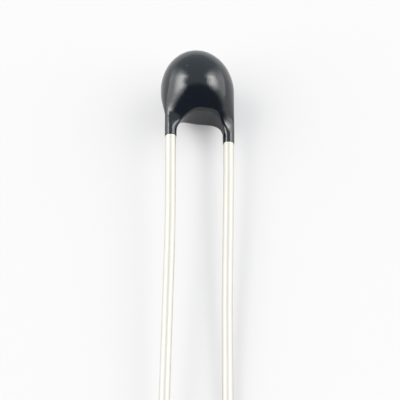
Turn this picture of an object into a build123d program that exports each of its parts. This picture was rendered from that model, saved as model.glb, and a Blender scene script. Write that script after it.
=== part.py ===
from build123d import *
from math import atan, atan2, cos, degrees, radians, sin, sqrt
import os

os.makedirs("parts", exist_ok=True)

# Wire leads
lead_diameter = 0.45
lead_pitch = 2.48
lead_length = 27.0  # bare wire, from the end of its sleeve to the tip

# Coating, measured from the widest section of the bead
coat_thickness = 0.02  # over the wires, in the sleeves
flank_bulge = 0.05  # how far each side stands out past the sleeves
bead_thickness = 2.9
dome_height = 1.83
web_depth = 1.19
sleeve_depth = 2.26
plain_sleeve = 0.4  # length of a sleeve below the root
bead_shift = 0.1  # the bead hangs this far left of the wires' middle
dome_lean = 0.04  # and its top this much further
flank_depth = 1.3  # by where the bulge and the shift have died away
flank_fade = 1.5  # and how fast they do
left_corner = 0.85
right_corner = 0.65
straight_edge = 0.2  # at least, of each sleeve under its corner
gap_round = 0.08  # along the gap's edges
dome_top_angle = 88  # of the small flat at the dome's top, above the widest section
dome_sections = 6
body_sections = 4
root_sections = 4
sleeve_sections = 2

# Chip and its joints
chip_size = 1.2
chip_thickness = 0.3
chip_rise = 0.2  # centre of the chip above the widest section
electrode_thickness = 0.02
electrode_margin = 0.05
solder_film = 0.02  # under the wire
solder_width = 0.7
solder_length = 0.95
solder_height = 0.3
solder_slope = 30  # degrees that the joint's sides lean in
wire_offset = 0.2  # the soldered wire beside the chip's middle
wire_tip_margin = 0.25  # from the chip's upper edge to the wire's end
bend_drop = 0.15  # from the chip's lower edge to the wire's first bend
splay_depth = 1.0  # where the wire reaches the sleeve's line
splay_radius = 0.3

# How the leads wander, and how the part lies
left_bend_depth = 6.5
left_bend_out = 0.58  # at the tip, past a straight lead
right_bend_depth = 3.6
right_bend_in = 0.1  # reached at the second bend
right_return_depth = 9.6
wander_radius = 70.0
touchdown_radius = 60.0
roll = 16.0  # degrees about the leads, left side up

# Sizes that follow
lead_radius = lead_diameter / 2
sleeve_radius = lead_radius + coat_thickness
sleeve_line = lead_pitch / 2
sleeve_half_width = sleeve_line + sleeve_radius
bead_half_width = sleeve_half_width + flank_bulge
bead_half_thickness = bead_thickness / 2
tip_depth = sleeve_depth + lead_length
left_tip_line = sleeve_line + left_bend_out
wire_height = chip_thickness / 2 + electrode_thickness + solder_film + lead_radius

# The rolled bead touches the floor, and so does the tip of the left lead
roll_angle = radians(roll)
support = sqrt((bead_half_width * sin(roll_angle)) ** 2 + (bead_half_thickness * cos(roll_angle)) ** 2)
rest_height = support - bead_shift * sin(roll_angle)
pitch_angle = atan((rest_height + left_tip_line * sin(roll_angle) - lead_radius) / tip_depth)
bead_station = (dome_height + tip_depth) / 2 - dome_height
across_dir = Vector(1, 0, 0).rotate(Axis.Y, roll).rotate(Axis.X, degrees(pitch_angle))
along_dir = Vector(0, 1, 0).rotate(Axis.X, degrees(pitch_angle))
lying = Plane(
    origin=(0, bead_station, rest_height),
    x_dir=across_dir,
    z_dir=across_dir.cross(along_dir),
)


def at(side, depth, front=0.0):
    """A point beside the leads' middle line, this far down from the widest section."""
    return lying.from_local_coords(Vector(side, -depth, front))


def section_plane(depth):
    """The plane across the leads, facing their tips."""
    return Plane(origin=at(0, depth), x_dir=lying.x_dir, z_dir=-lying.y_dir)


def oval(middle, half_width, half_thickness, end_radius):
    """A closed outline of four arcs that run into each other, about a middle on the sketch's x axis."""
    end_centre = half_width - end_radius
    face_radius = (end_centre**2 + half_thickness**2 - end_radius**2) / (2 * (half_thickness - end_radius))
    lean = atan2(abs(end_centre), abs(face_radius - half_thickness))
    side = end_centre + end_radius * sin(lean)
    rise = end_radius * cos(lean)
    with BuildLine() as outline:
        ThreePointArc((middle - side, rise), (middle, half_thickness), (middle + side, rise))
        ThreePointArc((middle + side, rise), (middle + half_width, 0), (middle + side, -rise))
        ThreePointArc((middle + side, -rise), (middle, -half_thickness), (middle - side, -rise))
        ThreePointArc((middle - side, -rise), (middle - half_width, 0), (middle - side, rise))
    make_face(outline.edges())


# Wires: each lies on its own face of the chip, bends out to its sleeve and runs on to the tip
first_bend_depth = chip_size / 2 - chip_rise + bend_drop
wire_tip_rise = chip_rise + chip_size / 2 - wire_tip_margin


def inner_route(side):
    """From the wire's end on the chip to its sleeve, left for -1 and right for 1."""
    return [
        at(side * wire_offset, -wire_tip_rise, -side * wire_height),
        at(side * wire_offset, first_bend_depth, -side * wire_height),
        at(side * sleeve_line, splay_depth),
    ]


left_route = inner_route(-1) + [
    at(-sleeve_line, left_bend_depth),
    at(-left_tip_line, tip_depth),
]

right_line = sleeve_line - right_bend_in
right_start_height = rest_height - right_line * sin(roll_angle) * cos(pitch_angle)
touchdown_depth = (right_start_height - lead_radius) / sin(pitch_angle)
touchdown = at(right_line, touchdown_depth)
right_route = inner_route(1) + [
    at(sleeve_line, right_bend_depth),
    at(right_line, right_return_depth),
    touchdown,
    touchdown + Vector(0, -1, 0) * (tip_depth - touchdown_depth),
]

left_radii = [splay_radius, splay_radius, wander_radius]
right_radii = [splay_radius, splay_radius, wander_radius, wander_radius, touchdown_radius]


def wire_section(route):
    """The wire's round end, at the start of its route."""
    start = Plane(origin=route[0], z_dir=route[1] - route[0])
    with BuildSketch(start) as section:
        Circle(lead_radius)
    return section.sketch


with BuildPart() as lead_left:
    with BuildLine() as left_path:
        FilletPolyline(*left_route, radius=left_radii)
    sweep(wire_section(left_route), path=left_path.wires()[0])
lead_left.part.label = "lead_left"
export_step(lead_left.part, "parts/lead_left.step")

with BuildPart() as lead_right:
    with BuildLine() as right_path:
        FilletPolyline(*right_route, radius=right_radii)
    sweep(wire_section(right_route), path=right_path.wires()[0])
lead_right.part.label = "lead_right"
export_step(lead_right.part, "parts/lead_right.step")

# Chip: a square ceramic wafer in the plane of the leads
with BuildPart() as thermistor_chip:
    with BuildSketch(lying.offset(-chip_thickness / 2)):
        with Locations((0, chip_rise)):
            Rectangle(chip_size, chip_size)
    extrude(amount=chip_thickness)
thermistor_chip.part.label = "thermistor_chip"
export_step(thermistor_chip.part, "parts/thermistor_chip.step")


def chip_face(side, height):
    """The plane at this height over the chip's front, for 1, or over its back, for -1."""
    return Plane(
        origin=at(0, -chip_rise, side * height),
        x_dir=lying.x_dir,
        z_dir=lying.z_dir * side,
    )


def electrode(side):
    """The silver film on one face of the chip."""
    film_size = chip_size - 2 * electrode_margin
    with BuildSketch(chip_face(side, chip_thickness / 2)) as film:
        Rectangle(film_size, film_size)
    extrude(film.sketch, amount=electrode_thickness)


def solder(side, wire):
    """A mound with sloping sides that holds the wire's end."""
    with BuildSketch(chip_face(side, chip_thickness / 2 + electrode_thickness)) as pool:
        with Locations((-side * wire_offset, 0)):
            SlotOverall(solder_length, solder_width, rotation=90)
    extrude(pool.sketch, amount=solder_height, taper=solder_slope)
    add(wire, mode=Mode.SUBTRACT)


with BuildPart() as electrode_front:
    electrode(1)
electrode_front.part.label = "electrode_front"
export_step(electrode_front.part, "parts/electrode_front.step")

with BuildPart() as electrode_back:
    electrode(-1)
electrode_back.part.label = "electrode_back"
export_step(electrode_back.part, "parts/electrode_back.step")

with BuildPart() as solder_front:
    solder(1, lead_left.part)
solder_front.part.label = "solder_front"
export_step(solder_front.part, "parts/solder_front.step")

with BuildPart() as solder_back:
    solder(-1, lead_right.part)
solder_back.part.label = "solder_back"
export_step(solder_back.part, "parts/solder_back.step")

# Coating: sections lofted from the dome down to the sleeves' ends, with the gap between the sleeves cut out
side_radius = bead_half_thickness**2 / bead_half_width
corner_limit = sleeve_depth - web_depth - straight_edge

# The faces fall away to the web's edge and run out into the sleeves on two parabolas that meet at one slope
root_depth = sleeve_depth - plain_sleeve
root_drop = root_depth - web_depth
flank_fall = (bead_half_thickness - sleeve_radius) * web_depth / root_depth
root_fall = bead_half_thickness - sleeve_radius - flank_fall


def dome_section(number):
    """One section of the dome, from its top down to the widest one."""
    angle = radians(dome_top_angle) * (1 - number / dome_sections)
    share = cos(angle)
    rise = sin(angle)
    with BuildSketch(section_plane(-dome_height * rise)) as section:
        oval(
            -bead_shift - dome_lean * rise,
            bead_half_width * share,
            bead_half_thickness * share,
            side_radius * share,
        )
    return section.sketch


def body_section(depth, half_thickness):
    """One section below the widest, down to the sleeves' own flat one."""
    swell = (half_thickness - sleeve_radius) / (bead_half_thickness - sleeve_radius)
    fading = max(0, 1 - (depth / flank_depth) ** 2) ** flank_fade
    half_width = sleeve_half_width + flank_bulge * fading
    full_radius = half_thickness**2 / half_width
    with BuildSketch(section_plane(depth)) as section:
        oval(
            -bead_shift * fading,
            half_width,
            half_thickness,
            sleeve_radius + (full_radius - sleeve_radius) * swell,
        )
    return section.sketch


def flank_section(number):
    """One section of the body, between the widest one and the web's edge."""
    step = number / body_sections
    return body_section(web_depth * step, bead_half_thickness - flank_fall * step**2)


def root_section(number):
    """One section of the root, where the body flares into the sleeves."""
    step = number / root_sections
    return body_section(web_depth + root_drop * step, sleeve_radius + root_fall * (1 - step) ** 2)


def sleeve_section(number):
    """One flat section of the strip that the sleeves are cut from."""
    depth = root_depth + plain_sleeve * number / sleeve_sections
    with BuildSketch(section_plane(depth)) as section:
        SlotCenterToCenter(lead_pitch, 2 * sleeve_radius)
    return section.sketch


with BuildPart() as epoxy_coating:
    sections = [dome_section(number) for number in range(dome_sections + 1)]
    sections += [flank_section(number) for number in range(1, body_sections)]
    sections += [root_section(number) for number in range(root_sections)]
    sections += [sleeve_section(number) for number in range(sleeve_sections + 1)]
    loft(sections)
    inner_line = sleeve_line - sleeve_radius
    with BuildSketch(lying) as gap:
        with BuildLine():
            FilletPolyline(
                (-inner_line, -sleeve_depth),
                (-inner_line, -web_depth),
                (inner_line, -web_depth),
                (inner_line, -sleeve_depth),
                radius=[min(left_corner, corner_limit), min(right_corner, corner_limit)],
            )
            Line((inner_line, -sleeve_depth), (-inner_line, -sleeve_depth))
        make_face()
    extrude(amount=bead_half_thickness, both=True, mode=Mode.SUBTRACT)
    gap_edges = epoxy_coating.edges(Select.LAST)
    gap_edges -= gap_edges.filter_by(Axis((0, 0, 0), lying.z_dir))
    end_station = gap_round - sleeve_depth
    gap_edges -= gap_edges.filter_by(lambda edge: lying.to_local_coords(edge.center()).Y < end_station)
    fillet(gap_edges, radius=gap_round)
    for inner in (thermistor_chip, electrode_front, electrode_back):
        add(inner.part, mode=Mode.SUBTRACT)
    for inner in (solder_front, solder_back, lead_left, lead_right):
        add(inner.part, mode=Mode.SUBTRACT)
epoxy_coating.part.label = "epoxy_coating"
export_step(epoxy_coating.part, "parts/epoxy_coating.step")
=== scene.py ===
import bmesh
import bpy
import numpy as np
from math import atan, ceil, cos, hypot, pi, radians, sin
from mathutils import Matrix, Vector


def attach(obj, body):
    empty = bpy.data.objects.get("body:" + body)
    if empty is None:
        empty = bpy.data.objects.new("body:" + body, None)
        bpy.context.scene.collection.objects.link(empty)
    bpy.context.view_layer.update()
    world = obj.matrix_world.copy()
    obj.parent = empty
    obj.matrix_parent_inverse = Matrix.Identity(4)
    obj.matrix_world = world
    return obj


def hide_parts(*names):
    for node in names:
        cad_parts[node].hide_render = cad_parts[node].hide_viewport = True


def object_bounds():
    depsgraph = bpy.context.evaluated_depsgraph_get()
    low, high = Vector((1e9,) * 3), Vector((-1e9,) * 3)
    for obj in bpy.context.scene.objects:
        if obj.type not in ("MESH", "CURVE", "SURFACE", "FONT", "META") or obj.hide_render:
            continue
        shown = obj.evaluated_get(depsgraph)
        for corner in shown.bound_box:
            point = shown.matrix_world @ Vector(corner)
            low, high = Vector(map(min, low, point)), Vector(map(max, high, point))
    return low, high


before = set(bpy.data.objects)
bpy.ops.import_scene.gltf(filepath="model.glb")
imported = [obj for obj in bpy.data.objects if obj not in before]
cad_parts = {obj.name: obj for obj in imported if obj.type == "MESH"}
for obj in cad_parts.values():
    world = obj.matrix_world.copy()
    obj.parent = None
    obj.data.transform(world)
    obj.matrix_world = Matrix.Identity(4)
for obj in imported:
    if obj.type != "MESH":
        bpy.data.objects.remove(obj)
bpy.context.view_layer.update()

# Sizes in millimetres, as the solids have them
MM = 0.001
lead_diameter = 0.45
lead_pitch = 2.48
lead_length = 27.0
coat_thickness = 0.02
flank_bulge = 0.05
bead_thickness = 2.9
dome_height = 1.83
web_depth = 1.19
sleeve_depth = 2.26
plain_sleeve = 0.4
bead_shift = 0.1
dome_lean = 0.04
flank_depth = 1.3
flank_fade = 1.5
left_corner = 0.85
right_corner = 0.65
gap_round = 0.08
chip_size = 1.2
chip_thickness = 0.3
chip_rise = 0.2
electrode_thickness = 0.02
solder_film = 0.02
wire_offset = 0.2
wire_tip_margin = 0.25
bend_drop = 0.15
splay_depth = 1.0
splay_radius = 0.3
left_bend_depth = 6.5
left_bend_out = 0.58
right_bend_depth = 3.6
right_bend_in = 0.1
right_return_depth = 9.6
wander_radius = 70.0
touchdown_radius = 60.0
roll = radians(16)

# Sizes of the scene's own meshes, in millimetres
inset = 0.001  # keeps the smooth pieces inside the solids' flat facets
coat_step = 0.03
rim_rise = 0.04  # the coat's grid ends this far above the sleeves' ends
lip = 0.01
plug_rise = 0.1
wire_end_bevel = 0.03

# Sizes that follow from them
lead_radius = lead_diameter / 2
sleeve_radius = lead_radius + coat_thickness
sleeve_line = lead_pitch / 2
inner_line = sleeve_line - sleeve_radius
sleeve_half_width = sleeve_line + sleeve_radius
bead_half_width = sleeve_half_width + flank_bulge
bead_half_thickness = bead_thickness / 2
tip_depth = sleeve_depth + lead_length
left_tip_line = sleeve_line + left_bend_out
wire_height = chip_thickness / 2 + electrode_thickness + solder_film + lead_radius

# How the part lies: rolled onto its right side, with the bead and the wires' tips on the floor
support = hypot(bead_half_width * sin(roll), bead_half_thickness * cos(roll))
rest_height = support - bead_shift * sin(roll)
pitch = atan((rest_height + left_tip_line * sin(roll) - lead_radius) / tip_depth)
bead_station = (dome_height + tip_depth) / 2 - dome_height
along = np.array((0, cos(pitch), sin(pitch)))
over = np.array((0, -sin(pitch), cos(pitch)))
across = cos(roll) * np.array((1.0, 0, 0)) - sin(roll) * over
lie = np.array((across, -along, np.cross(across, along)))
origin = np.array((0, bead_station, rest_height))


def to_world(points):
    """From (side, depth, front) about the widest section, in millimetres, to the row frame in metres."""
    return (origin + np.asarray(points) @ lie) * MM


# Shape of the coat: a distance that is below zero inside it
root_depth = sleeve_depth - plain_sleeve
root_drop = root_depth - web_depth
flank_fall = (bead_half_thickness - sleeve_radius) * web_depth / root_depth
root_fall = bead_half_thickness - sleeve_radius - flank_fall


def half_thickness_at(depth):
    body = bead_half_thickness - flank_fall * (np.clip(depth, 0, web_depth) / web_depth) ** 2
    root = sleeve_radius + root_fall * (1 - np.clip((depth - web_depth) / root_drop, 0, 1)) ** 2
    return np.where(depth < web_depth, body, root)


def oval_distance(side, front, half_width, half_thickness, end_radius):
    """Distance from an outline of four arcs that run into each other."""
    least_spare = 1e-4
    side, front = np.abs(side), np.abs(front)
    end_centre = half_width - end_radius
    spare = np.maximum(half_thickness - end_radius, least_spare)
    face_radius = (end_centre**2 + half_thickness**2 - end_radius**2) / (2 * spare)
    face_centre = face_radius - half_thickness
    past_face = side * face_centre > end_centre * (front + face_centre)
    at_end = np.hypot(side - end_centre, front) - end_radius
    at_face = np.hypot(side, front + face_centre) - face_radius
    return np.where(past_face, at_end, at_face)


def dome_distance(side, depth, front):
    rise = -depth / dome_height
    middle = -bead_shift - dome_lean * rise
    reach = ((side - middle) / bead_half_width) ** 2 + (front / bead_half_thickness) ** 2 + rise**2
    return (np.sqrt(reach) - 1) * bead_half_thickness


def body_distance(side, depth, front):
    half_thickness = half_thickness_at(depth)
    swell = (half_thickness - sleeve_radius) / (bead_half_thickness - sleeve_radius)
    fading = np.maximum(1 - (depth / flank_depth) ** 2, 0) ** flank_fade
    half_width = sleeve_half_width + flank_bulge * fading
    full_radius = half_thickness**2 / half_width
    end_radius = sleeve_radius + (full_radius - sleeve_radius) * swell
    beside = oval_distance(side + bead_shift * fading, front, half_width, half_thickness, end_radius)
    probe = 0.01
    fall = (half_thickness_at(depth - probe) - half_thickness_at(depth + probe)) / (2 * probe)
    return beside / np.sqrt(1 + fall**2)


def gap_distance(side, depth):
    """Distance from the gap between the sleeves, below zero in it."""
    corner = np.where(side < 0, left_corner, right_corner)
    beyond = np.abs(side) - (inner_line - corner)
    above = web_depth + corner - depth
    outside = np.hypot(np.maximum(beyond, 0), np.maximum(above, 0))
    return outside + np.minimum(np.maximum(beyond, above), 0) - corner


def rounded(first, second, radius):
    """Where two distances meet, with the corner rounded."""
    corner = np.hypot(np.maximum(first + radius, 0), np.maximum(second + radius, 0))
    return np.minimum(np.maximum(first, second), -radius) + corner


def coat_distance(points):
    side, depth, front = points.T
    dome = dome_distance(side, depth, front)
    body = body_distance(side, np.maximum(depth, 0), front)
    down_root = np.clip((depth - web_depth) / root_drop, 0, 1) ** 2
    radius = gap_round + (sleeve_radius - gap_round) * down_root
    return rounded(np.where(depth < 0, dome, body), -gap_distance(side, depth), radius) + inset


def coat_slope(points):
    nudge = 1e-4
    rises = [coat_distance(points + way) - coat_distance(points - way) for way in nudge * np.eye(3)]
    return np.stack(rises, axis=1) / (2 * nudge)


def settle(points, held):
    """Moves points onto the coat's surface. The held ones keep their depth."""
    rounds = 4
    least_steepness = 0.05
    for _ in range(rounds):
        slope = coat_slope(points)
        slope[held, 1] = 0
        steepness = np.maximum((slope**2).sum(1), least_steepness)
        points -= (coat_distance(points) / steepness)[:, None] * slope
    return points


def surface_net(low, high, step):
    """Points and four-sided faces where the coat's distance changes sign in a grid, one point a cell.

    Also marks the points in the grid's last layer of depth.
    """
    axes = [np.arange(a, b + step / 2, step) for a, b in zip(low, high)]
    size = [len(axis) for axis in axes]
    grid = np.stack(np.meshgrid(*axes, indexing="ij"), -1).reshape(-1, 3)
    value = coat_distance(grid).reshape(size)
    total = np.zeros((*size, 3))
    count = np.zeros(size)
    around = []
    for axis in range(3):
        one, after, last = np.roll(np.eye(3, dtype=int), -axis, axis=0)
        start = np.take(value, range(size[axis] - 1), axis)
        end = np.take(value, range(1, size[axis]), axis)
        edges = np.argwhere((start < 0) != (end < 0))
        a, b = start[tuple(edges.T)], end[tuple(edges.T)]
        places = edges + (a / (a - b))[:, None] * one
        cells = np.stack([edges - after - last, edges - last, edges, edges - after], 1)
        fits = ((cells >= 0) & (cells < np.array(size) - 1)).all(2)
        for corner in range(4):
            good = fits[:, corner]
            where = tuple(cells[good, corner].T)
            np.add.at(total, where, places[good])
            np.add.at(count, where, 1)
        whole = fits.all(1)
        quads = cells[whole]
        quads[a[whole] < 0] = quads[a[whole] < 0][:, ::-1]
        around.append(quads)
    used = count > 0
    number = np.full(size, -1)
    number[used] = np.arange(used.sum())
    faces = np.concatenate([number[tuple(np.moveaxis(quads, -1, 0))] for quads in around])
    points = np.array(low) + step * total[used] / count[used][:, None]
    last_layer = np.argwhere(used)[:, 1] == size[1] - 2
    return points, faces, last_layer


def edges_of(faces):
    return np.concatenate([faces[:, [k, (k + 1) % 4]] for k in range(4)])


def open_edges(faces):
    """The edges that only one face has, in that face's own direction."""
    edges = edges_of(faces)
    _, first, count = np.unique(np.sort(edges, 1), axis=0, return_index=True, return_counts=True)
    return edges[first[count == 1]]


def evened(points, faces, held):
    """Points drawn towards their neighbours' middle, so that the faces are all about one size."""
    edges = np.unique(np.sort(edges_of(faces), 1), axis=0)
    total = np.zeros_like(points)
    count = np.zeros(len(points))
    for near, far in (edges.T, edges.T[::-1]):
        np.add.at(total, near, points[far])
        np.add.at(count, near, 1)
    middle = total / count[:, None]
    middle[held] = points[held]
    return (points + middle) / 2


def in_steps(reach):
    """A length in whole steps of the coat's grid, with two to spare."""
    return coat_step * (ceil(reach / coat_step) + 2)


def coat_skin():
    """The coat's skin, open just above the sleeves' ends."""
    rounds = 3
    left = in_steps(bead_half_width + bead_shift + dome_lean)
    right = in_steps(bead_half_width)
    top = in_steps(dome_height)
    front = in_steps(bead_half_thickness)
    points, faces, rim = surface_net((-left, -top, -front), (right, sleeve_depth, front), coat_step)
    points[rim, 1] = sleeve_depth - rim_rise
    for _ in range(rounds):
        points = settle(evened(points, faces, rim), rim)
    return points, faces


# The rings that close the coat: how far above the sleeve's end, and how far in from its skin.
# The last two are inside the wire, where nothing shows.
end_rings = (
    (1.2 * lip, 0),
    (0.3 * lip, 0.3 * lip),
    (0, lip),
    (0, coat_thickness + 2 * lip),
    (plug_rise, coat_thickness + 5 * lip),
)


def with_ends(points, faces):
    """Adds the sleeves' rounded ends and closes the coat inside the wires."""
    loose = open_edges(faces)
    points = list(points)
    faces = [tuple(int(k) for k in face) for face in faces]
    for rise, pull_in in end_rings:
        below = {}
        for k in np.unique(loose):
            start = points[k].copy()
            centre = np.array((np.sign(start[0]) * sleeve_line, sleeve_depth - rise, 0))
            spoke = start - centre
            spoke[1] = 0
            spoke *= (sleeve_radius - inset - pull_in) / np.linalg.norm(spoke)
            below[int(k)] = len(points)
            points.append(centre + spoke)
        faces += [(int(b), int(a), below[int(a)], below[int(b)]) for a, b in loose]
        loose = np.array([(below[int(a)], below[int(b)]) for a, b in loose])
    for side in (-1, 1):
        middle = len(points)
        points.append(np.array((side * sleeve_line, sleeve_depth - plug_rise, 0)))
        faces += [(int(b), int(a), middle) for a, b in loose if points[a][0] * side > 0]
    return points, faces


def make_mesh(name, points, faces):
    mesh = bpy.data.meshes.new(name)
    mesh.from_pydata([tuple(p) for p in points], [], [tuple(f) for f in faces])
    built = bmesh.new()
    built.from_mesh(mesh)
    bmesh.ops.recalc_face_normals(built, faces=built.faces)
    built.to_mesh(mesh)
    built.free()
    mesh.shade_smooth()
    piece = bpy.data.objects.new(name, mesh)
    bpy.context.scene.collection.objects.link(piece)
    return piece


# Coating
coat_points, coat_faces = with_ends(*coat_skin())
coating = make_mesh("coating", to_world(coat_points), coat_faces)


# Leads: a round section carried along a route with rounded bends, by Geometry Nodes
def at(side, depth, front=0.0):
    return np.array((side, depth, front))


first_bend_depth = chip_size / 2 - chip_rise + bend_drop
wire_tip_rise = chip_rise + chip_size / 2 - wire_tip_margin


def inner_route(side):
    """From the wire's end on the chip to its sleeve, left for -1 and right for 1."""
    return [
        at(side * wire_offset, -wire_tip_rise, -side * wire_height),
        at(side * wire_offset, first_bend_depth, -side * wire_height),
        at(side * sleeve_line, splay_depth),
    ]


left_route = inner_route(-1) + [at(-sleeve_line, left_bend_depth), at(-left_tip_line, tip_depth)]
right_line = sleeve_line - right_bend_in
right_start_height = rest_height - right_line * sin(roll) * cos(pitch)
touchdown_depth = (right_start_height - lead_radius) / sin(pitch)
right_route = inner_route(1) + [
    at(sleeve_line, right_bend_depth),
    at(right_line, right_return_depth),
    at(right_line, touchdown_depth),
]
left_route = to_world(left_route)
right_route = to_world(right_route)
floor_run = np.array((0, -MM * (tip_depth - touchdown_depth), 0))
right_route = np.vstack([right_route, right_route[-1] + floor_run])
left_radii = [splay_radius, splay_radius, wander_radius]
right_radii = [splay_radius, splay_radius, wander_radius, wander_radius, touchdown_radius]


def wire_tree(finish):
    """A node tree that rounds a route's bends and carries the wire's section along it."""
    tree = bpy.data.node_groups.new("drawn_wire", "GeometryNodeTree")
    tree.interface.new_socket(name="Geometry", in_out="OUTPUT", socket_type="NodeSocketGeometry")
    for name, kind in (
        ("Route", "NodeSocketGeometry"),
        ("Wire radius", "NodeSocketFloat"),
        ("Points a bend", "NodeSocketInt"),
        ("Sides", "NodeSocketInt"),
    ):
        tree.interface.new_socket(name=name, in_out="INPUT", socket_type=kind)
    given = tree.nodes.new("NodeGroupInput")
    bend_radius = tree.nodes.new("GeometryNodeInputRadius")
    bends = tree.nodes.new("GeometryNodeFilletCurve")
    bends.mode = "POLY"
    bends.inputs["Limit Radius"].default_value = True
    even = tree.nodes.new("GeometryNodeSetCurveRadius")
    even.inputs["Radius"].default_value = 1.0
    section = tree.nodes.new("GeometryNodeCurvePrimitiveCircle")
    swept = tree.nodes.new("GeometryNodeCurveToMesh")
    swept.inputs["Fill Caps"].default_value = True
    smooth = tree.nodes.new("GeometryNodeSetShadeSmooth")
    real = tree.nodes.new("GeometryNodeRealizeInstances")
    painted = tree.nodes.new("GeometryNodeSetMaterial")
    painted.inputs["Material"].default_value = finish
    result = tree.nodes.new("NodeGroupOutput")
    for start, end in (
        (given.outputs["Route"], bends.inputs["Curve"]),
        (given.outputs["Points a bend"], bends.inputs["Count"]),
        (bend_radius.outputs["Radius"], bends.inputs["Radius"]),
        (bends.outputs["Curve"], even.inputs["Curve"]),
        (even.outputs["Curve"], swept.inputs["Curve"]),
        (given.outputs["Sides"], section.inputs["Resolution"]),
        (given.outputs["Wire radius"], section.inputs["Radius"]),
        (section.outputs["Curve"], swept.inputs["Profile Curve"]),
        (swept.outputs["Mesh"], smooth.inputs["Geometry"]),
        (smooth.outputs["Geometry"], real.inputs["Geometry"]),
        (real.outputs["Geometry"], painted.inputs["Geometry"]),
        (painted.outputs["Geometry"], result.inputs["Geometry"]),
    ):
        tree.links.new(start, end)
    return tree


def wire(name, tree, route, radii):
    """One lead as a plain mesh, with the edges of its ends taken off."""
    curve = bpy.data.curves.new(name + "_route", "CURVE")
    curve.dimensions = "3D"
    spline = curve.splines.new("POLY")
    spline.points.add(len(route) - 1)
    for point, place, radius in zip(spline.points, route, [0, *radii, 0]):
        point.co = (*place, 1)
        point.radius = radius * MM
    rail = bpy.data.objects.new(name + "_rail", curve)
    bpy.context.scene.collection.objects.link(rail)
    modifier = rail.modifiers.new("wire", "NODES")
    modifier.node_group = tree
    values = {"Wire radius": (lead_radius - inset) * MM, "Points a bend": 24, "Sides": 64}
    for item in tree.interface.items_tree:
        if item.name in values:
            modifier[item.identifier] = values[item.name]
    shown = rail.evaluated_get(bpy.context.evaluated_depsgraph_get())
    mesh = bpy.data.meshes.new_from_object(shown)
    bpy.data.objects.remove(rail)
    mesh.name = name
    trimmed = bmesh.new()
    trimmed.from_mesh(mesh)
    ends = [face for face in trimmed.faces if len(face.verts) > 4]
    rims = list({edge for face in ends for edge in face.edges})
    bmesh.ops.bevel(
        trimmed, geom=rims, offset=wire_end_bevel * MM, segments=3, profile=0.5, affect="EDGES"
    )
    bmesh.ops.recalc_face_normals(trimmed, faces=trimmed.faces)
    trimmed.to_mesh(mesh)
    trimmed.free()
    mesh.set_sharp_from_angle(angle=radians(50))
    piece = bpy.data.objects.new(name, mesh)
    bpy.context.scene.collection.objects.link(piece)
    return piece


# Materials
class Wired:
    """A shader value. Sums and products of these lay out the Math nodes that work them out."""

    def __init__(self, tree, socket=None):
        self.tree = tree
        self.socket = socket

    def node(self, kind, settings=None, inputs=None, output=0):
        """Adds any node: its settings first, then its values and links."""
        made = self.tree.nodes.new(kind)
        for name, value in (settings or {}).items():
            setattr(made, name, value)
        for name, value in (inputs or {}).items():
            if isinstance(value, Wired):
                self.tree.links.new(value.socket, made.inputs[name])
            else:
                made.inputs[name].default_value = value
        return Wired(self.tree, made.outputs[output])

    def math(self, operation, *values):
        """Adds a Math node, of this value alone if no others are given."""
        values = values or (self,)
        return self.node("ShaderNodeMath", {"operation": operation}, dict(enumerate(values)))

    def __add__(self, other):
        return self.math("ADD", self, other)

    def __radd__(self, other):
        return self.math("ADD", other, self)

    def __sub__(self, other):
        return self.math("SUBTRACT", self, other)

    def __rsub__(self, other):
        return self.math("SUBTRACT", other, self)

    def __mul__(self, other):
        return self.math("MULTIPLY", self, other)

    def __rmul__(self, other):
        return self.math("MULTIPLY", other, self)

    def between(self, low, high):
        """0 up to low, 1 from high, and smooth between them."""
        return self.node(
            "ShaderNodeMapRange",
            {"interpolation_type": "SMOOTHSTEP"},
            {"Value": self, "From Min": low, "From Max": high},
        )


def shader(name, values):
    """A new material's Principled node with its plain values set, and a way to add nodes beside it."""
    material = bpy.data.materials.new(name)
    material.use_nodes = True
    surface = material.node_tree.nodes["Principled BSDF"]
    for socket, value in values.items():
        surface.inputs[socket].default_value = value
    return material, surface, Wired(material.node_tree)


def plug(value, surface, name):
    value.tree.links.new(value.socket, surface.inputs[name])


def spots(nodes, per_mm, detail=2.0, stretch=(1, 1, 1)):
    """Noise over the piece's own coordinates, with this many spots a millimetre."""
    place = nodes.node("ShaderNodeTexCoord", output="Object")
    stretched = nodes.node("ShaderNodeVectorMath", {"operation": "MULTIPLY"}, {0: place, 1: stretch})
    values = {"Vector": stretched, "Scale": per_mm / MM, "Detail": detail}
    return nodes.node("ShaderNodeTexNoise", {}, values)


def mixed(nodes, share, first, second):
    """From the first colour to the second. The Mix node's colour sockets go by their places."""
    return nodes.node(
        "ShaderNodeMix", {"data_type": "RGBA"}, {"Factor": share, 6: first, 7: second}, output=2
    )


def bumps(nodes, height, depth, under=None):
    """Bumps this many millimetres deep, on top of others where those are given."""
    values = {"Height": height, "Distance": depth * MM, "Strength": 1.0}
    if under is not None:
        values["Normal"] = under
    return nodes.node("ShaderNodeBump", {}, values)


def ranged(share, low, high):
    """A number that runs from low to high by a share."""
    return low + (high - low) * share


def vary(nodes, surface, share, colours, roughness):
    """Runs a surface's colour and roughness between two values each, by one share."""
    plug(mixed(nodes, share, *colours), surface, "Base Color")
    plug(ranged(share, *roughness), surface, "Roughness")


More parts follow.
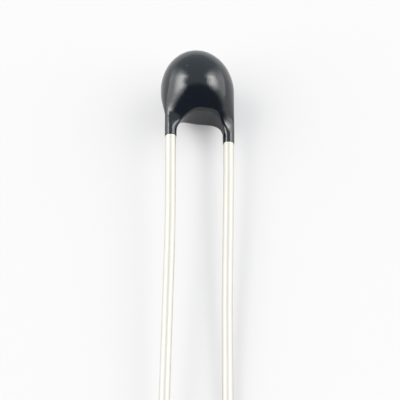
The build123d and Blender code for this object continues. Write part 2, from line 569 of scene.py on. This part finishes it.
def epoxy():
    """Black dipping epoxy, cured glossy."""
    deep_black, cool_black = (0.004, 0.006, 0.009, 1), (0.006, 0.008, 0.012, 1)
    nibs_per_mm, nib_core, nib_edge, nib_height = 2.4, 0.02, 0.12, 3
    material, surface, nodes = shader("epoxy", {"IOR": 1.6})
    plug(mixed(nodes, spots(nodes, per_mm=0.9), deep_black, cool_black), surface, "Base Color")
    plug(ranged(spots(nodes, per_mm=2.5, detail=4), low=0.08, high=0.15), surface, "Roughness")
    place = nodes.node("ShaderNodeTexCoord", output="Object")
    from_nib = nodes.node("ShaderNodeTexVoronoi", {}, {"Vector": place, "Scale": nibs_per_mm / MM})
    nibs = 1 - from_nib.between(nib_core, nib_edge)
    swells = bumps(nodes, spots(nodes, per_mm=1.6), depth=0.01)
    skin = spots(nodes, per_mm=7, detail=3) + nib_height * nibs
    plug(bumps(nodes, skin, depth=0.0035, under=swells), surface, "Normal")
    return material


def tinned_wire():
    """Bright tin, drawn along the wire."""
    material, surface, nodes = shader("tinned_wire", {"Metallic": 1.0})
    streaks = spots(nodes, per_mm=9, detail=3, stretch=(1, 0.04, 1))
    grey_tin, pale_tin = (0.48, 0.462, 0.405, 1), (0.55, 0.53, 0.47, 1)
    vary(nodes, surface, streaks, colours=(grey_tin, pale_tin), roughness=(0.48, 0.6))
    plug(bumps(nodes, streaks, depth=0.002), surface, "Normal")
    return material


def chip_ceramic():
    """Sintered oxide ceramic, dark and matte."""
    material, surface, nodes = shader("chip_ceramic", {})
    grain = spots(nodes, per_mm=30, detail=4)
    black_grain, brown_grain = (0.03, 0.028, 0.027, 1), (0.075, 0.07, 0.066, 1)
    vary(nodes, surface, grain, colours=(black_grain, brown_grain), roughness=(0.6, 0.8))
    return material


def silver_film():
    """Fired silver paste, pale and satin."""
    material, surface, nodes = shader("silver_film", {"Metallic": 1.0})
    grain = spots(nodes, per_mm=40, detail=3)
    dull_silver, bright_silver = (0.72, 0.71, 0.68, 1), (0.86, 0.85, 0.82, 1)
    vary(nodes, surface, grain, colours=(dull_silver, bright_silver), roughness=(0.38, 0.58))
    return material


def solder():
    """Soft solder, frozen with a slightly dull skin."""
    material, surface, nodes = shader("solder", {"Metallic": 1.0})
    skin = spots(nodes, per_mm=6, detail=3)
    dull_solder, bright_solder = (0.6, 0.6, 0.6, 1), (0.78, 0.78, 0.77, 1)
    vary(nodes, surface, skin, colours=(dull_solder, bright_solder), roughness=(0.2, 0.4))
    return material


wire_finish = tinned_wire()
drawn_wire = wire_tree(wire_finish)
left_wire = wire("left_wire", drawn_wire, left_route, left_radii)
right_wire = wire("right_wire", drawn_wire, right_route, right_radii)
coating.data.materials.append(epoxy())

for piece, node, finish in (
    (coating, "epoxy_coating", "epoxy"),
    (left_wire, "lead_left", "tinned_wire"),
    (right_wire, "lead_right", "tinned_wire"),
):
    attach(piece, "root")
    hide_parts(node)

solder_finish = solder()
film_finish = silver_film()
for node, finish in (
    ("thermistor_chip", chip_ceramic()),
    ("electrode_front", film_finish),
    ("electrode_back", film_finish),
    ("solder_front", solder_finish),
    ("solder_back", solder_finish),
):
    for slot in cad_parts[node].material_slots:
        slot.material = finish

# Floor
floor_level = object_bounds()[0][2]
floor_reach = 1.2
corners = [
    (x * floor_reach, y * floor_reach, floor_level) for x, y in ((-1, -1), (1, -1), (1, 1), (-1, 1))
]
floor_mesh = bpy.data.meshes.new("floor")
floor_mesh.from_pydata(corners, [], [(0, 1, 2, 3)])
floor = bpy.data.objects.new("floor", floor_mesh)
bpy.context.scene.collection.objects.link(floor)
pale_matte = {
    "Base Color": (0.545, 0.533, 0.536, 1),
    "Emission Color": (1, 1, 1, 1),
    "Emission Strength": 0.12,
    "Roughness": 0.9,
    "Specular IOR Level": 0.0,
}
floor_finish, _, _ = shader("pale_floor", pale_matte)
floor_mesh.materials.append(floor_finish)

# Camera, above the wires' ends and looking down at the bead
bead = Vector(origin - bead_shift * across) * MM
elevation = radians(60)
eye_distance = 97.0 * MM
lens = 210.0
sensor = 36.0
picture_width = 400
bead_x, bead_y = 197.4, 92.0
ahead = Vector((0, cos(elevation), -sin(elevation)))
upward = Vector((0, sin(elevation), cos(elevation)))
rightward = Vector((1, 0, 0))
pixel = eye_distance * sensor / (lens * picture_width)
camera_data = bpy.data.cameras.new("camera")
camera_data.lens = lens
camera_data.sensor_width = sensor
camera_data.clip_start = 1.0 * MM
camera = bpy.data.objects.new("camera", camera_data)
camera.location = (
    bead
    - ahead * eye_distance
    - rightward * (bead_x - picture_width / 2) * pixel
    - upward * (picture_width / 2 - bead_y) * pixel
)
camera.rotation_euler = (pi / 2 - elevation, 0, 0)
bpy.context.scene.collection.objects.link(camera)
bpy.context.scene.camera = camera

# Light: a white tent lit through both side walls, with its dark opening towards the camera.
# Turns are in degrees from straight behind the part, heights in degrees above the floor.
wall_rise, wall_fall = (34, 62), (98, 138)
wall_turn = 7
lamp_rise, lamp_fall = (18, 46), (45, 66)
skirt_fall = (30, 62)
opening_fall = (-0.5, -0.1)
lamp_power, skirt_power = 5.2, 1.6
lamp_tint = (1, 0.985, 0.955)
white_cloth, dark_opening = (0.62, 0.69, 0.72, 1), (0.10, 0.115, 0.16, 1)


def past(angle, degrees):
    """0 before the first of two angles, 1 after the second."""
    low, high = degrees
    return angle.between(radians(low), radians(high))


world = bpy.data.worlds.new("tent")
world.use_nodes = True
bpy.context.scene.world = world
tent = Wired(world.node_tree)
sight = tent.node("ShaderNodeTexCoord", output="Generated")
split = tent.node("ShaderNodeSeparateXYZ", {}, {0: sight})
sight_x, sight_y, sight_z = (Wired(world.node_tree, socket) for socket in split.socket.node.outputs)
azimuth = tent.math("ARCTAN2", sight_x, sight_y)
height = tent.math("ARCSINE", sight_z)
beside = azimuth.math("ABSOLUTE")
turned = (azimuth + radians(wall_turn)).math("ABSOLUTE")
wall = past(beside, wall_rise) * (1 - past(turned, wall_fall))
lamp = past(height, lamp_rise) * (1 - past(height, lamp_fall))
skirt = 1 - past(height, skirt_fall)
opening = 1 - sight_y.between(*opening_fall)
cloth = mixed(tent, opening, white_cloth, dark_opening)
glow = wall * (lamp_power * lamp + skirt_power * skirt)
lit = tent.node("ShaderNodeVectorMath", {"operation": "SCALE"}, {0: lamp_tint, "Scale": glow})
light = tent.node("ShaderNodeVectorMath", {"operation": "ADD"}, {0: cloth, 1: lit})
plug(light, world.node_tree.nodes["Background"], "Color")

# The camera's own response lifts the shadows on white paper
response = ((0.15, 0.155), (0.3, 0.35), (0.53, 0.68), (0.7, 0.84), (0.82, 0.9), (0.955, 0.955))
look = bpy.context.scene.view_settings
look.view_transform = "Standard"
look.use_curve_mapping = True
all_channels = look.curve_mapping.curves[3]
for shade, shown in response:
    all_channels.points.new(shade, shown)
look.curve_mapping.update()
